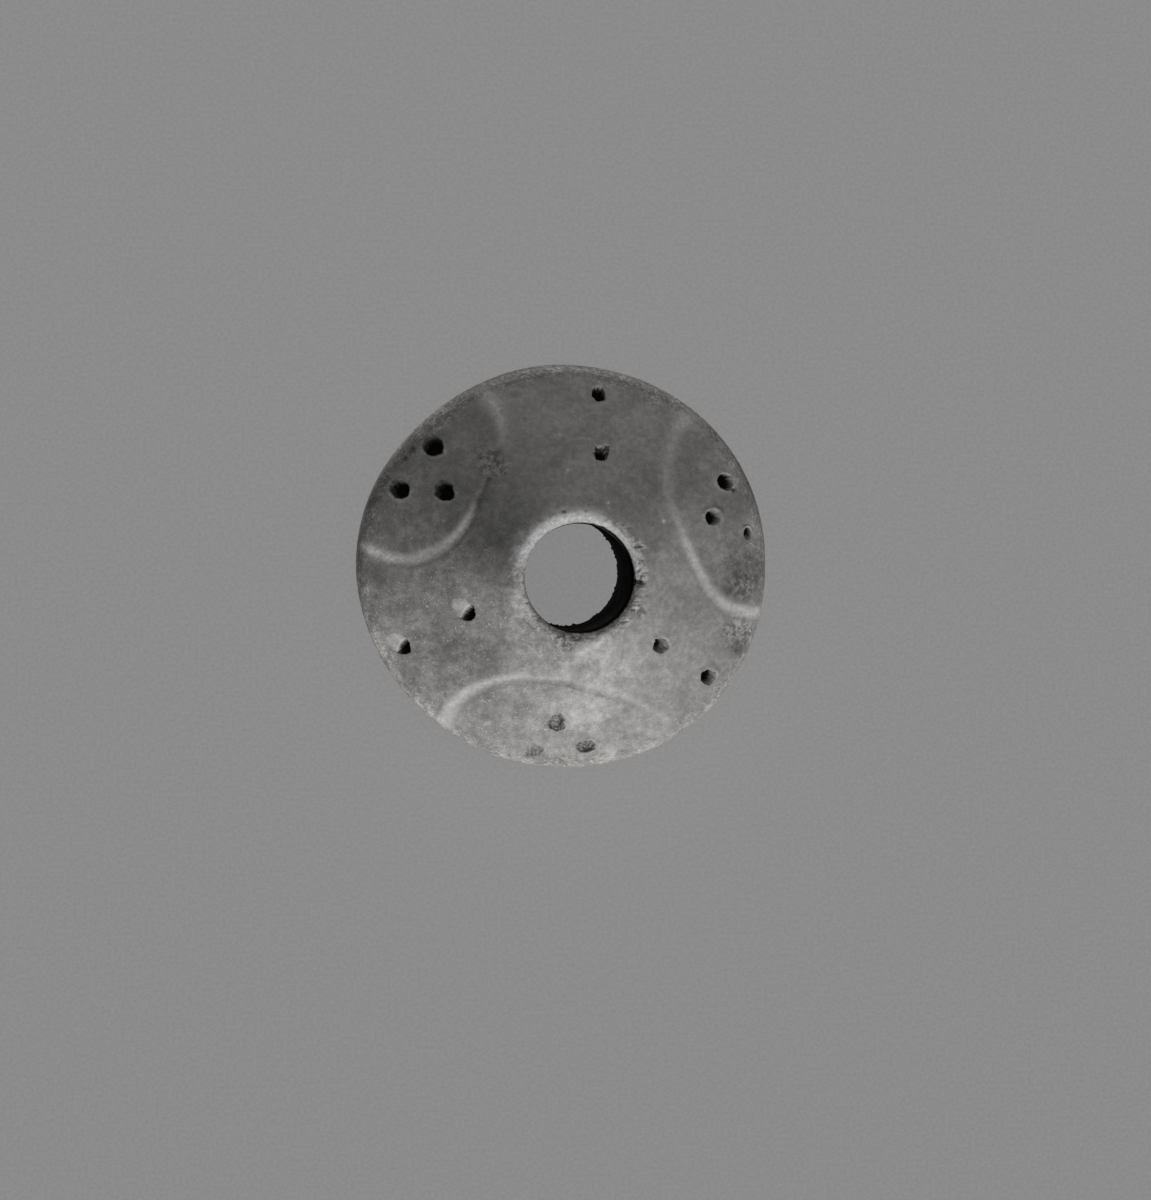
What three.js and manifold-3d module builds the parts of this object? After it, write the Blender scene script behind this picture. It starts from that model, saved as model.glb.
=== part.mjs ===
// A clay spindle whorl: a low disc with two sloping faces, round a hole that sits off centre.
// The upper face carries three scratched horseshoe arcs that open on the rim. Each arc holds
// three pricked pits, and a pair of pits stands between one arc and the next.
//
// Millimetres, +Z up. The origin is on the base plane, under the middle of the outline.
// The whorl lies on the flat ring round the lower mouth of its hole.
// Azimuths are degrees, counterclockwise from +X. A place on the upper face is given by its
// azimuth and by its share of the way out from the wall of the hole (0) to the rim (1).

import * as THREE from 'three';
import { mergeVertices } from 'three/addons/utils/BufferGeometryUtils.js';
import Module from 'manifold-3d';

const wasm = await Module();
wasm.setup();

// Body
const WHORL_DIAMETER = 36;
const WHORL_HEIGHT = 11.5;
const WIDEST_LEVEL = 4.72;
const SHOULDER_RADIUS = 1.7;
const BASE_DIAMETER = 20;
const BASE_EDGE_RADIUS = 3;

// Hole for the spindle, and how far its axis stands from the middle of the outline
const HOLE_DIAMETER = 9.6;
const HOLE_SHIFT_X = 0.79;
const HOLE_SHIFT_Y = -0.72;
const UPPER_LIP_RADIUS = 0.8;
const LOWER_LIP_RADIUS = 0.5;

// The hand-made outline: waves round the rim, with the height and azimuth of each one's crest
const RIM_WAVES = [
  { lobes: 1, swell: 0.17, crest: -10 },
  { lobes: 2, swell: 0.23, crest: -10 },
  { lobes: 3, swell: 0.12, crest: 58 },
  { lobes: 5, swell: 0.06, crest: 28 },
];

// Scratched arcs: the section of the groove, and the way of each one from rim to rim
const GROOVE_WIDTH = 1;
const GROOVE_DEPTH = 0.2;
const ARCS = [
  [[115.5, 1.01], [113.8, 0.74], [125.1, 0.47], [146, 0.42], [165.8, 0.49], [176.3, 0.72], [173.2, 1.01]],
  [[50.9, 1.01], [50.6, 0.72], [39.9, 0.47], [19.6, 0.41], [-0.6, 0.5], [-13.1, 0.72], [-13.3, 1.01]],
  [
    [-127, 1.01],
    [-130.3, 0.75],
    [-119.6, 0.47],
    [-95.6, 0.39],
    [-76.3, 0.49],
    [-59.9, 0.76],
    [-57.8, 1.01],
  ],
];

// Pricked pits. The stick went in square to the face or leaning: lean is its angle from that,
// and bearing is the way its tip points, 0 towards the hole and then counterclockwise.
const PITS = [
  { azimuth: 137.1, share: 0.845, width: 1.7, depth: 1.7, lean: 30, bearing: 20 },
  { azimuth: 154.4, share: 0.849, width: 1.6, depth: 1.7, lean: 30, bearing: 10 },
  { azimuth: 147.3, share: 0.627, width: 1.6, depth: 1.7, lean: 30, bearing: 20 },
  { azimuth: 28, share: 0.842, width: 1.4, depth: 1.5, lean: 32, bearing: 30 },
  { azimuth: 19.8, share: 0.653, width: 1.45, depth: 1.5, lean: 34, bearing: 20 },
  { azimuth: 10.5, share: 0.896, width: 1, depth: 1.3, lean: 36, bearing: 10 },
  { azimuth: -94.9, share: 0.664, width: 1.5, depth: 0.4, lean: 0, bearing: 0 },
  { azimuth: -100, share: 0.89, width: 1.1, depth: 0.2, lean: 0, bearing: 0 },
  { azimuth: -83.6, share: 0.85, width: 1.5, depth: 0.4, lean: 0, bearing: 0 },
  { azimuth: 79.4, share: 0.827, width: 1.35, depth: 1.4, lean: 30, bearing: -20 },
  { azimuth: 76.5, share: 0.467, width: 1.35, depth: 1.2, lean: 25, bearing: -10 },
  { azimuth: -161, share: 0.392, width: 1.8, depth: 1.5, lean: 40, bearing: 55 },
  { azimuth: -156.2, share: 0.85, width: 1.9, depth: 1.6, lean: 40, bearing: 55 },
  { azimuth: -39.9, share: 0.386, width: 1.35, depth: 1.2, lean: 30, bearing: -10 },
  { azimuth: -37.5, share: 0.825, width: 1.4, depth: 1.4, lean: 32, bearing: -5 },
];

// Fineness of the faceted solid
const SIDES_ROUND = 90;
const LIP_STEPS = 3;
const SHOULDER_STEPS = 4;
const EDGE_STEPS = 2;
const BASE_EDGE_STEPS = 3;
const FACE_STEPS = 4;
const GROOVE_STEPS = 34;
const GROOVE_SIDES = 10;
const PIT_SIDES = 12;
const PIT_RINGS = 8;

const CLAY = { color: 0x8c8884, roughness: 0.85, metalness: 0 };

const holeRadius = HOLE_DIAMETER / 2;
const rimRadius = WHORL_DIAMETER / 2;
const quarterTurn = Math.PI / 2;
const halfTurn = Math.PI;
const { degToRad } = THREE.MathUtils;

// The four rounds of the profile, as circles in the plane of radius and height
const upperLip = {
  out: holeRadius + UPPER_LIP_RADIUS,
  up: WHORL_HEIGHT - UPPER_LIP_RADIUS,
  radius: UPPER_LIP_RADIUS,
};
const shoulder = { out: rimRadius - SHOULDER_RADIUS, up: WIDEST_LEVEL, radius: SHOULDER_RADIUS };
const baseEdge = { out: BASE_DIAMETER / 2, up: BASE_EDGE_RADIUS, radius: BASE_EDGE_RADIUS };
const lowerLip = { out: holeRadius + LOWER_LIP_RADIUS, up: LOWER_LIP_RADIUS, radius: LOWER_LIP_RADIUS };

// Slope of the straight face that touches an inner and an outer round, drop being the fall
// of the outer one's centre.
function slopeBetween(inner, outer, drop) {
  const run = outer.out - inner.out;
  const reach = Math.hypot(run, drop);
  return Math.asin((inner.radius - outer.radius) / reach) + Math.atan2(drop, run);
}

const upperSlope = slopeBetween(upperLip, shoulder, upperLip.up - shoulder.up);
const lowerSlope = slopeBetween(baseEdge, shoulder, shoulder.up - baseEdge.up);

// A point on a round whose outward normal makes this angle with +Z.
function onRound(round, angle) {
  return new THREE.Vector2(
    round.out + round.radius * Math.sin(angle),
    round.up + round.radius * Math.cos(angle),
  );
}

function roundPoints(round, from, to, steps) {
  const points = [];
  for (let i = 0; i <= steps; i += 1) {
    points.push(onRound(round, from + ((to - from) * i) / steps));
  }
  return points;
}

// Points inside a straight stretch, so that the hand-made outline bends it evenly.
function facePoints(start, end, steps) {
  const points = [];
  for (let i = 1; i < steps; i += 1) {
    points.push(start.clone().lerp(end, i / steps));
  }
  return points;
}

// The closed section of the ring: up the wall of the hole, over the lip, down the upper face,
// round the shoulder, in along the lower face and across the flat base. It is handed over
// in the reverse order, so that the faces turned from it point outwards.
function sectionPoints() {
  const lowerTurn = halfTurn - lowerSlope;
  const lip = [
    ...roundPoints(upperLip, -quarterTurn, 0, LIP_STEPS),
    ...roundPoints(upperLip, 0, upperSlope, EDGE_STEPS).slice(1),
  ];
  const turn = [
    ...roundPoints(shoulder, upperSlope, quarterTurn, SHOULDER_STEPS),
    ...roundPoints(shoulder, quarterTurn, lowerTurn, SHOULDER_STEPS).slice(1),
  ];
  const edge = roundPoints(baseEdge, lowerTurn, halfTurn, BASE_EDGE_STEPS);
  const mouth = roundPoints(lowerLip, halfTurn, halfTurn + quarterTurn, EDGE_STEPS);
  const section = [
    ...lip,
    ...facePoints(lip.at(-1), turn[0], FACE_STEPS),
    ...turn,
    ...facePoints(turn.at(-1), edge[0], FACE_STEPS),
    ...edge,
    ...mouth,
    lip[0].clone(),
  ];
  return section.reverse();
}

// Where a point of the true round form stands on the whorl as made by hand: the hole keeps
// its shape and is shifted, and the rim carries the waves.
function handPlace(radius, azimuth, level) {
  const share = (radius - holeRadius) / (rimRadius - holeRadius);
  const swell = RIM_WAVES.reduce(
    (sum, wave) => sum + wave.swell * Math.cos(wave.lobes * (azimuth - degToRad(wave.crest))),
    0,
  );
  const reach = radius + share * swell;
  return new THREE.Vector3(
    reach * Math.cos(azimuth) + (1 - share) * HOLE_SHIFT_X,
    reach * Math.sin(azimuth) + (1 - share) * HOLE_SHIFT_Y,
    level,
  );
}

function bodyGeometry() {
  const body = new THREE.LatheGeometry(sectionPoints(), SIDES_ROUND);
  body.rotateX(quarterTurn);
  const corners = body.attributes.position;
  for (let i = 0; i < corners.count; i += 1) {
    const x = corners.getX(i);
    const y = corners.getY(i);
    const placed = handPlace(Math.hypot(x, y), Math.atan2(y, x), corners.getZ(i));
    corners.setXYZ(i, placed.x, placed.y, placed.z);
  }
  return body;
}

// Places on the upper face
const faceStart = onRound(upperLip, upperSlope);

function radiusAt(share) {
  return holeRadius + share * (rimRadius - holeRadius);
}

function faceNormal(azimuth) {
  const outward = Math.sin(upperSlope);
  return new THREE.Vector3(
    outward * Math.cos(azimuth),
    outward * Math.sin(azimuth),
    Math.cos(upperSlope),
  );
}

function facePlace(radius, azimuth) {
  const level = faceStart.y - (radius - faceStart.x) * Math.tan(upperSlope);
  return handPlace(radius, azimuth, level);
}

// The centre line of a groove's cutter, which follows the straight face and so runs out where
// the shoulder turns away.
class GrooveLine extends THREE.Curve {
  constructor(stations, lift) {
    super();
    this.lift = lift;
    this.plan = new THREE.CatmullRomCurve3(
      stations.map(([azimuth, share]) => {
        const turn = degToRad(azimuth);
        const radius = radiusAt(share);
        return new THREE.Vector3(radius * Math.cos(turn), radius * Math.sin(turn), 0);
      }),
      false,
      'catmullrom',
    );
  }

  getPoint(t, target = new THREE.Vector3()) {
    const plan = this.plan.getPoint(t);
    const azimuth = Math.atan2(plan.y, plan.x);
    const place = facePlace(Math.hypot(plan.x, plan.y), azimuth);
    return target.copy(place).addScaledVector(faceNormal(azimuth), this.lift);
  }
}

function grooveGeometry(stations) {
  const halfWidth = GROOVE_WIDTH / 2;
  const cutterRadius = (halfWidth ** 2 + GROOVE_DEPTH ** 2) / (2 * GROOVE_DEPTH);
  const section = new THREE.Shape();
  section.absarc(0, 0, cutterRadius, 0, 2 * halfTurn);
  return new THREE.ExtrudeGeometry(section, {
    curveSegments: GROOVE_SIDES / 2,
    steps: GROOVE_STEPS,
    bevelEnabled: false,
    extrudePath: new GrooveLine(stations, cutterRadius - GROOVE_DEPTH),
  });
}

// A pit is half a long round form that stands in the face, square to it or leaning.
function pitGeometry({ azimuth, share, width, depth, lean, bearing }) {
  const turn = degToRad(azimuth);
  const normal = faceNormal(turn);
  const sideways = new THREE.Vector3(-Math.sin(turn), Math.cos(turn), 0);
  const inward = new THREE.Vector3().crossVectors(sideways, normal).negate();
  const tipWay = inward
    .multiplyScalar(Math.cos(degToRad(bearing)))
    .addScaledVector(sideways, Math.sin(degToRad(bearing)));
  const axis = normal
    .clone()
    .multiplyScalar(Math.cos(degToRad(lean)))
    .addScaledVector(tipWay, -Math.sin(degToRad(lean)));
  const pit = new THREE.SphereGeometry(1, PIT_SIDES, PIT_RINGS);
  pit.rotateX(quarterTurn);
  pit.scale(width / 2, width / 2, depth);
  pit.applyQuaternion(new THREE.Quaternion().setFromUnitVectors(new THREE.Vector3(0, 0, 1), axis));
  const place = facePlace(radiusAt(share), turn);
  pit.translate(place.x, place.y, place.z);
  return pit;
}

function toSolid(geometry) {
  const bare = geometry.clone();
  bare.deleteAttribute('normal');
  bare.deleteAttribute('uv');
  const merged = mergeVertices(bare);
  return new wasm.Manifold(
    new wasm.Mesh({
      numProp: 3,
      vertProperties: merged.attributes.position.array,
      triVerts: new Uint32Array(merged.index.array),
    }),
  );
}

function toGeometry(solid) {
  const mesh = solid.getMesh();
  const geometry = new THREE.BufferGeometry();
  geometry.setAttribute('position', new THREE.BufferAttribute(mesh.vertProperties, mesh.numProp));
  geometry.setIndex(new THREE.BufferAttribute(mesh.triVerts, 1));
  geometry.computeVertexNormals();
  return geometry;
}

function whorlMesh() {
  const cutters = [...ARCS.map(grooveGeometry), ...PITS.map(pitGeometry)];
  const carved = cutters.reduce((body, cutter) => body.subtract(toSolid(cutter)), toSolid(bodyGeometry()));
  const mesh = new THREE.Mesh(toGeometry(carved), new THREE.MeshStandardMaterial(CLAY));
  mesh.name = 'whorl';
  return mesh;
}

const group = new THREE.Group();
group.add(whorlMesh());

export default group;
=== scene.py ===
"""A clay spindle whorl, lying with its scratched and pricked face up on a pale floor.

The whorl's form is worked out in millimetres and written to its mesh in metres. A place on
the upper face is given by its azimuth, in degrees counterclockwise from +X, and by its share
of the way out from the wall of the hole (0) to the rim (1).
"""

import math

import bpy
import numpy as np
from mathutils import Matrix, Vector


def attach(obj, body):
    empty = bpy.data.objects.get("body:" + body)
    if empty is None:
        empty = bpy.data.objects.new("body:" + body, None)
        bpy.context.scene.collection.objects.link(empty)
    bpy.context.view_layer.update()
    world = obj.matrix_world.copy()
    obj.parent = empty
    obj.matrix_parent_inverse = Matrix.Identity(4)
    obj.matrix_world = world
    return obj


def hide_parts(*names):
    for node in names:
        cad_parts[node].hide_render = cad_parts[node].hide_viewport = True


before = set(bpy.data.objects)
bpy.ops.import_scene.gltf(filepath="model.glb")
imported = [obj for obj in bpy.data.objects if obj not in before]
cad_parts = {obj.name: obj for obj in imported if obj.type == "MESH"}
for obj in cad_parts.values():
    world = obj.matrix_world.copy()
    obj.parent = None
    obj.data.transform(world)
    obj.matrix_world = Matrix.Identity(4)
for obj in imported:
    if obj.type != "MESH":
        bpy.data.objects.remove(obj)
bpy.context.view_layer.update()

MM = 0.001
HALF_TURN = math.pi
QUARTER_TURN = math.pi / 2

# Body, as in the solid
WHORL_DIAMETER = 36
WHORL_HEIGHT = 11.5
WIDEST_LEVEL = 4.72
SHOULDER_RADIUS = 1.7
BASE_DIAMETER = 20
BASE_EDGE_RADIUS = 3
HOLE_DIAMETER = 9.6
HOLE_SHIFT = np.array([0.79, -0.72])
UPPER_LIP_RADIUS = 0.8
LOWER_LIP_RADIUS = 0.5

# The hand-made outline, as waves: lobes, height of a crest, azimuth of a crest
RIM_WAVES = [(1, 0.17, -10), (2, 0.23, -10), (3, 0.12, 58), (5, 0.06, 28)]

# Scratched arcs: azimuth, share, how much of the full depth is left there, half of the width
# and how pale the scratched clay is
ARCS = [
    [
        (114.7, 1.01, 0.3, 1.0, 0.9),
        (113.9, 0.83, 0.4, 0.85, 1.0),
        (115.1, 0.69, 0.35, 0.65, 0.65),
        (119.8, 0.57, 0.1, 0.45, 0.1),
        (130, 0.5, 0.15, 0.4, 0),
        (142, 0.45, 0.35, 0.4, 0.15),
        (150.5, 0.42, 0.8, 0.5, 0.65),
        (161.9, 0.44, 1.05, 0.65, 0.9),
        (171.2, 0.53, 0.8, 0.75, 0.6),
        (176, 0.66, 0.8, 0.75, 0.65),
        (176.6, 0.8, 1.0, 0.72, 1.15),
        (174.9, 0.94, 0.9, 0.65, 1.4),
        (174.2, 1.01, 0.8, 0.65, 1.1),
    ],
    [
        (48.5, 1.01, 0.2, 1.4, 1),
        (50, 0.92, 0.3, 1.2, 0.95),
        (50.3, 0.8, 0.4, 0.9, 0.45),
        (48.3, 0.66, 0.45, 0.72, 0.43),
        (44.1, 0.52, 0.35, 0.65, 0.3),
        (35.8, 0.42, 0.4, 0.62, 0.4),
        (24.1, 0.4, 0.57, 0.58, 0.6),
        (12.2, 0.41, 0.85, 0.62, 1.15),
        (0.9, 0.47, 0.95, 0.68, 1.1),
        (-8.5, 0.57, 0.9, 0.75, 0.75),
        (-14, 0.73, 1.1, 0.78, 1.0),
        (-14.3, 0.92, 1.1, 0.8, 1.35),
        (-13.8, 1.01, 1.0, 0.8, 1.3),
    ],
    [
        (-127, 1.01, 0.8, 0.95, 1.3),
        (-129.2, 0.81, 1.05, 0.8, 1.4),
        (-128.1, 0.66, 1.07, 0.75, 1.03),
        (-123.9, 0.53, 1.03, 0.65, 0.98),
        (-116, 0.42, 0.9, 0.57, 0.8),
        (-104.9, 0.37, 0.75, 0.5, 0.6),
        (-92.1, 0.36, 0.6, 0.42, 0.4),
        (-79.7, 0.42, 0.5, 0.42, 0.35),
        (-69.8, 0.52, 0.45, 0.46, 0.42),
        (-62.1, 0.65, 0.3, 0.5, 0.3),
        (-57.3, 0.82, 0.2, 0.55, 0.28),
        (-57.4, 1.01, 0.2, 0.7, 0.45),
    ],
]

# Pricked pits. First the hole: azimuth, share, width, depth, lean from square to the face and
# bearing of the tip (0 towards the hole, 90 counterclockwise round it). Then its make: the depth
# below which it is painted black as shade (0 paints the shade from just outside the mouth),
# raggedness of the mouth, how much dirt fills it, how far clay is pushed up beside it, and where a
# shallow ramp on the side away from the tip ends, as a share of half of the width from the middle
NO_RAMP = -2
PITS = [
    ((137.1, 0.857, 1.58, 1.7, 30, 20), (0, 0.12, 0, 0, NO_RAMP)),
    ((154.4, 0.864, 1.48, 1.7, 30, 10), (0, 0.14, 0, 0, NO_RAMP)),
    ((147.3, 0.633, 1.5, 1.7, 30, 20), (0, 0.17, 0, 0, NO_RAMP)),
    ((28, 0.842, 1.4, 1.5, 32, 30), (0.18, 0.14, 0, 0, NO_RAMP)),
    ((19.8, 0.653, 1.3, 1.5, 34, 20), (0.5, 0.1, 0, 0.1, NO_RAMP)),
    ((10.3, 0.869, 0.75, 1.3, 45, 90), (0.35, 0.12, 0, 0.1, NO_RAMP)),
    ((-94.9, 0.664, 1.4, 0.3, 34, 160), (5, 0.2, 1, 0, NO_RAMP)),
    ((-100, 0.89, 1.25, 0.15, 35, 70), (5, 0.3, 0.65, 0, NO_RAMP)),
    ((-83.6, 0.85, 1.35, 0.35, 32, 100), (5, 0.3, 0.95, 0.05, NO_RAMP)),
    ((79.4, 0.836, 1.2, 1.4, 40, 0), (0.22, 0.3, 0.4, 0, NO_RAMP)),
    ((76.5, 0.467, 1.4, 1.0, 25, -10), (0.6, 0.35, 1, 0, NO_RAMP)),
    ((-162.6, 0.412, 1.65, 1.5, 45, 54), (0.3, 0.1, 0, 0, 0.18)),
    ((-156.2, 0.865, 1.6, 1.5, 45, 54), (0.3, 0.1, 0, 0, 0.12)),
    ((-39.9, 0.386, 1.4, 1.2, 30, -10), (0.75, 0.2, 0.7, 0.06, NO_RAMP)),
    ((-37.5, 0.825, 1.35, 1.4, 32, -5), (0.6, 0.25, 0.5, 0.08, NO_RAMP)),
]

# Small marks: azimuth, share, width, height (below zero for a pore) and tone
MARKS = [
    (141.9, 0.944, 0.5, -0.2, 0.35),
    (145.3, 0.938, 0.3, -0.15, 0.4),
    (103.4, 0.089, 0.3, -0.15, 0.4),
    (24.7, 0.869, 0.35, -0.2, 0.3),
    (-7.1, 0.72, 0.8, -0.06, 0.45),
    (-25, 0.908, 1.1, -0.08, 0.4),
    (-4.7, 0.029, 0.7, -0.5, 0.05),
    (-156.1, 0.083, 1.8, 0.02, 1.5),
    (-75.6, 0.02, 0.5, 0.02, 1.5),
    (94.1, 0.341, 0.3, 0.02, 1.8),
    (30.9, 0.325, 0.35, 0.03, 2.6),
    (67.2, 0.167, 0.25, 0.02, 2.4),
    (-117.4, 0.806, 0.5, 0.04, 1.8),
    (-173.9, 0.955, 0.7, 0.03, 2),
    (-172.1, 0.367, 0.5, 0.02, 1.7),
    (-165.6, 0.402, 1, 0.0, 1.5),
    (12.3, 0.901, 1, 0.02, 1.6),
]

# Fine scratches and painted shade lines along two arcs: azimuth and share of both ends, width and
# tone
SCRATCHES_AND_SHADE_LINES = [
    ((94.6, 0.563), (82, 0.535), 0.22, 1.45),
    ((-87.7, 0.145), (-65.5, 0.081), 0.7, 1.8),
    ((-46, 0.55), (-40, 0.42), 0.25, 1.2),
    # Painted shade line along the shaded lower wall of the lower arc
    ((-117.2, 0.459), (-104.8, 0.401), 0.2, 0.7),
    ((-104.8, 0.401), (-93.1, 0.395), 0.18, 0.55),
    ((-93.1, 0.395), (-87.1, 0.42), 0.17, 0.42),
    ((-87.1, 0.42), (-76.2, 0.491), 0.17, 0.4),
    ((-76.2, 0.491), (-69.9, 0.567), 0.25, 0.6),
    # Painted shadow band along the dark middle of the upper-left arc
    ((119, 0.6), (131.9, 0.477), 0.5, 0.65),
    ((131.9, 0.477), (143.3, 0.429), 0.6, 0.58),
    ((143.3, 0.429), (156.1, 0.394), 0.55, 0.55),
    ((156.1, 0.394), (167.9, 0.45), 0.4, 0.65),
    ((128, 0.4), (146, 0.3), 0.5, 1.12),
    ((-103.7, 0.049), (-92.4, 0.059), 0.35, 0.35),
    ((-118.8, 0.048), (-110, 0.05), 0.3, 0.45),
    ((-131, 0.047), (-126, 0.09), 0.3, 0.45),
    ((-143.1, 0.107), (-130.5, 0.095), 0.25, 0.5),
    ((-19.3, 0.057), (-15.8, 0.106), 0.25, 0.5),
    ((-40.1, 0.068), (-32.9, 0.103), 0.3, 0.6),
]

# Clouds of firing and wear, together with pools of painted light and shade: azimuth, share, reach in
# millimetres and tone
CLOUDS_AND_PAINTED_LIGHT = [
    (152, 0.75, 6, 0.66),
    (155, 0.25, 3, 0.6),
    (120, 0.8, 4, 0.84),
    (176, 0.97, 2.5, 0.78),
    (179, 0.2, 1.6, 0.7),
    (160, 1, 3, 0.85),
    (50, 0.45, 5, 0.84),
    (-4, 0.78, 2.4, 0.5),
    (140, 0.3, 5, 0.72),
    (120, 0.35, 3, 0.85),
    (-158, 0.99, 2.5, 1.5),
    (32, 0.72, 5, 0.8),
    (15, 0.95, 3, 0.85),
    (-152, 0.6, 1.8, 0.82),
    (-131, 0.35, 1.5, 0.78),
    (-140, 0.4, 2, 0.85),
    (-122, 0.68, 1.6, 0.78),
    (-112, 0.55, 1.8, 0.86),
    (-148, 0.95, 2.4, 0.8),
    (-22, 0.72, 2.2, 0.88),
    (-25, 0.92, 1.6, 0.75),
    (150, 0.55, 5.5, 0.84),
    (120, 0.65, 4, 0.92),
    (180, 0.3, 3, 1.12),
    (90, 0.72, 3, 0.92),
    (182, 0.93, 2.5, 0.78),
    (162, 0.93, 2, 0.88),
    (140, 0.92, 1.8, 0.78),
    (20, 0.93, 2, 0.8),
    (42, 0.95, 1.6, 0.85),
    (0, 0.98, 2, 0.7),
    (-80, 0.94, 1.4, 1.35),
    (-120, 0.98, 2.2, 1.12),
    (-140, 0.06, 1.6, 1.35),
    (-101, 0.07, 1, 0.5),
    (-80, 0.07, 0.6, 0.8),
    (-60, 0.07, 1, 0.78),
    (-40, 0.03, 0.7, 1.3),
    (-175, 0.55, 4, 0.88),
    (-140, 0.65, 3, 0.88),
    (-30, 0.25, 3.5, 1.1),
    # Painted highlight: the burnish's sheen below the hole
    (-88, 0.3, 4.5, 1.15),
    (-106, 0.45, 2.5, 1.1),
    (-84, 0.6, 2, 1.1),
]

# Crackled places: azimuth, share and reach in millimetres
CRACKLES = [
    (126.4, 0.548, 1.6),
    (-5, 0.82, 1.5),
    (-20, 0.86, 1.8),
    (-103, 0.07, 1.2),
    (-30, 0.1, 0.8),
]

# Worn edges: how far the pale crumbled clay reaches out from the hole, in millimetres, and in
# from the rim, as a share
LIP_WEAR = 1.35
RIM_WEAR = 0.1

# Relief of the clay: how far each kind rises or sinks, in millimetres
SWELL_HEIGHT = 0.04
RIPPLE_HEIGHT = 0.009
GRAIN_HEIGHT = 0.003
LIP_CRUMB_DEPTH = 0.2
RIM_CRUMB_DEPTH = 0.03
WALL_CRUMB_HEIGHT = 0.35
PORE_DEPTH = 0.12
PORE_SPACING = 1.2
GROOVE_DEPTH = 0.17
SCRATCH_RIDGE = 0.01

# Greys of the clay, as linear brightness; the last two are painted black shade
CLAY_GREY = 0.15
CHIP_GREY = 0.34
SPECK_GREY = 0.38
SCORED_GREY = 0.32
PORE_GREY = 0.05
PAINTED_SHADE_GREY = 0.008
DEEP_SHADE_GREY = 0.004

# Lamps: azimuth and height in degrees, strength, and width in degrees. The overhead lamp leans
# from upright by this share of the view's lean
KEY_LAMP = (-75, 30, 4.4, 16)
FILL_LAMP = (90, 32, 0.5, 20)
OVERHEAD_LEAN = 0.94
OVERHEAD_STRENGTH = 0.93
OVERHEAD_WIDTH = 0.3
WORLD_GREY = 0.8
WORLD_STRENGTH = 0.05

# The photograph: its height and scale, the place on the whorl at its middle, and the view
PHOTO_HIGH = 1200
PIXELS_A_MM = 11.317
CAMERA_AWAY = 680
AIMED_AT = (1.258, -3.005, WIDEST_LEVEL)
VIEW_LEAN = (-0.13095, 0.05235)

# Fineness of the mesh: azimuth steps round, and by how much a cell is divided each way to be fine
STEPS_ROUND = 1620
SPLIT = 3

# The floor's half width in metres
FLOOR_REACH = 3.0

hole_radius = HOLE_DIAMETER / 2
rim_radius = WHORL_DIAMETER / 2


class Round:
    """A round of the section: a circle in the plane of radius and height."""

    def __init__(self, out, up, radius):
        self.out = out
        self.up = up
        self.radius = radius

    def point(self, angle):
        """The point whose outward normal makes this angle with +Z."""
        return (
            self.out + self.radius * math.sin(angle),
            self.up + self.radius * math.cos(angle),
        )


upper_lip = Round(hole_radius + UPPER_LIP_RADIUS, WHORL_HEIGHT - UPPER_LIP_RADIUS, UPPER_LIP_RADIUS)
shoulder = Round(rim_radius - SHOULDER_RADIUS, WIDEST_LEVEL, SHOULDER_RADIUS)
base_edge = Round(BASE_DIAMETER / 2, BASE_EDGE_RADIUS, BASE_EDGE_RADIUS)
lower_lip = Round(hole_radius + LOWER_LIP_RADIUS, LOWER_LIP_RADIUS, LOWER_LIP_RADIUS)


def slope_between(inner, outer, drop):
    """Slope of the straight face that touches both rounds."""
    run = outer.out - inner.out
    reach = math.hypot(run, drop)
    return math.asin((inner.radius - outer.radius) / reach) + math.atan2(drop, run)


upper_slope = slope_between(upper_lip, shoulder, upper_lip.up - shoulder.up)
lower_slope = slope_between(base_edge, shoulder, shoulder.up - base_edge.up)
face_start = upper_lip.point(upper_slope)


# The section as rows of cells


def section_rows():
    """The closed section, up the wall of the hole and round the outside, at each third of a row.

    Returns radius, level and normal angle at each, and the azimuth step of each row's cells.
    """
    coarse, middle, fine = 9, 6, 3
    hidden_pitch = 0.35
    lip_pitch = 0.13
    face_pitch = 0.19
    edge_pitch = 0.2
    under_pitch = 0.3
    lower_turn = HALF_TURN - lower_slope
    full = HALF_TURN + QUARTER_TURN
    face_middle = 0.4
    face_end = shoulder.point(upper_slope)
    mid = tuple(a + (b - a) * face_middle for a, b in zip(face_start, face_end))
    wall = (lower_lip.point(full), upper_lip.point(-QUARTER_TURN))
    cone = (shoulder.point(lower_turn), base_edge.point(lower_turn))
    base = (base_edge.point(HALF_TURN), lower_lip.point(HALF_TURN))
    stretches = [
        ("line", *wall, -QUARTER_TURN, hidden_pitch, coarse),
        ("arc", upper_lip, -QUARTER_TURN, upper_slope, lip_pitch, middle),
        ("line", face_start, mid, upper_slope, face_pitch, middle),
        ("line", mid, face_end, upper_slope, face_pitch, fine),
        ("arc", shoulder, upper_slope, lower_turn, edge_pitch, fine),
        ("line", *cone, lower_turn, under_pitch, middle),
        ("arc", base_edge, lower_turn, HALF_TURN, under_pitch, middle),
        ("line", *base, HALF_TURN, hidden_pitch, coarse),
        ("arc", lower_lip, HALF_TURN, full, edge_pitch, coarse),
    ]
    places = []
    steps = []
    for kind, start, end, turn, pitch, step in stretches:
        if kind == "arc":
            length = start.radius * (turn - end)
            rows = max(2, round(length / pitch))
            for k in range(rows * SPLIT):
                angle = end + (turn - end) * k / (rows * SPLIT)
                places.append((*start.point(angle), angle))
        else:
            length = math.dist(start, end)
            rows = max(2, round(length / pitch))
            for k in range(rows * SPLIT):
                part = k / (rows * SPLIT)
                place = tuple(a + (b - a) * part for a, b in zip(start, end))
                places.append((*place, turn))
        steps += [step] * rows
    return np.array(places), steps


# Noise


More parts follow.
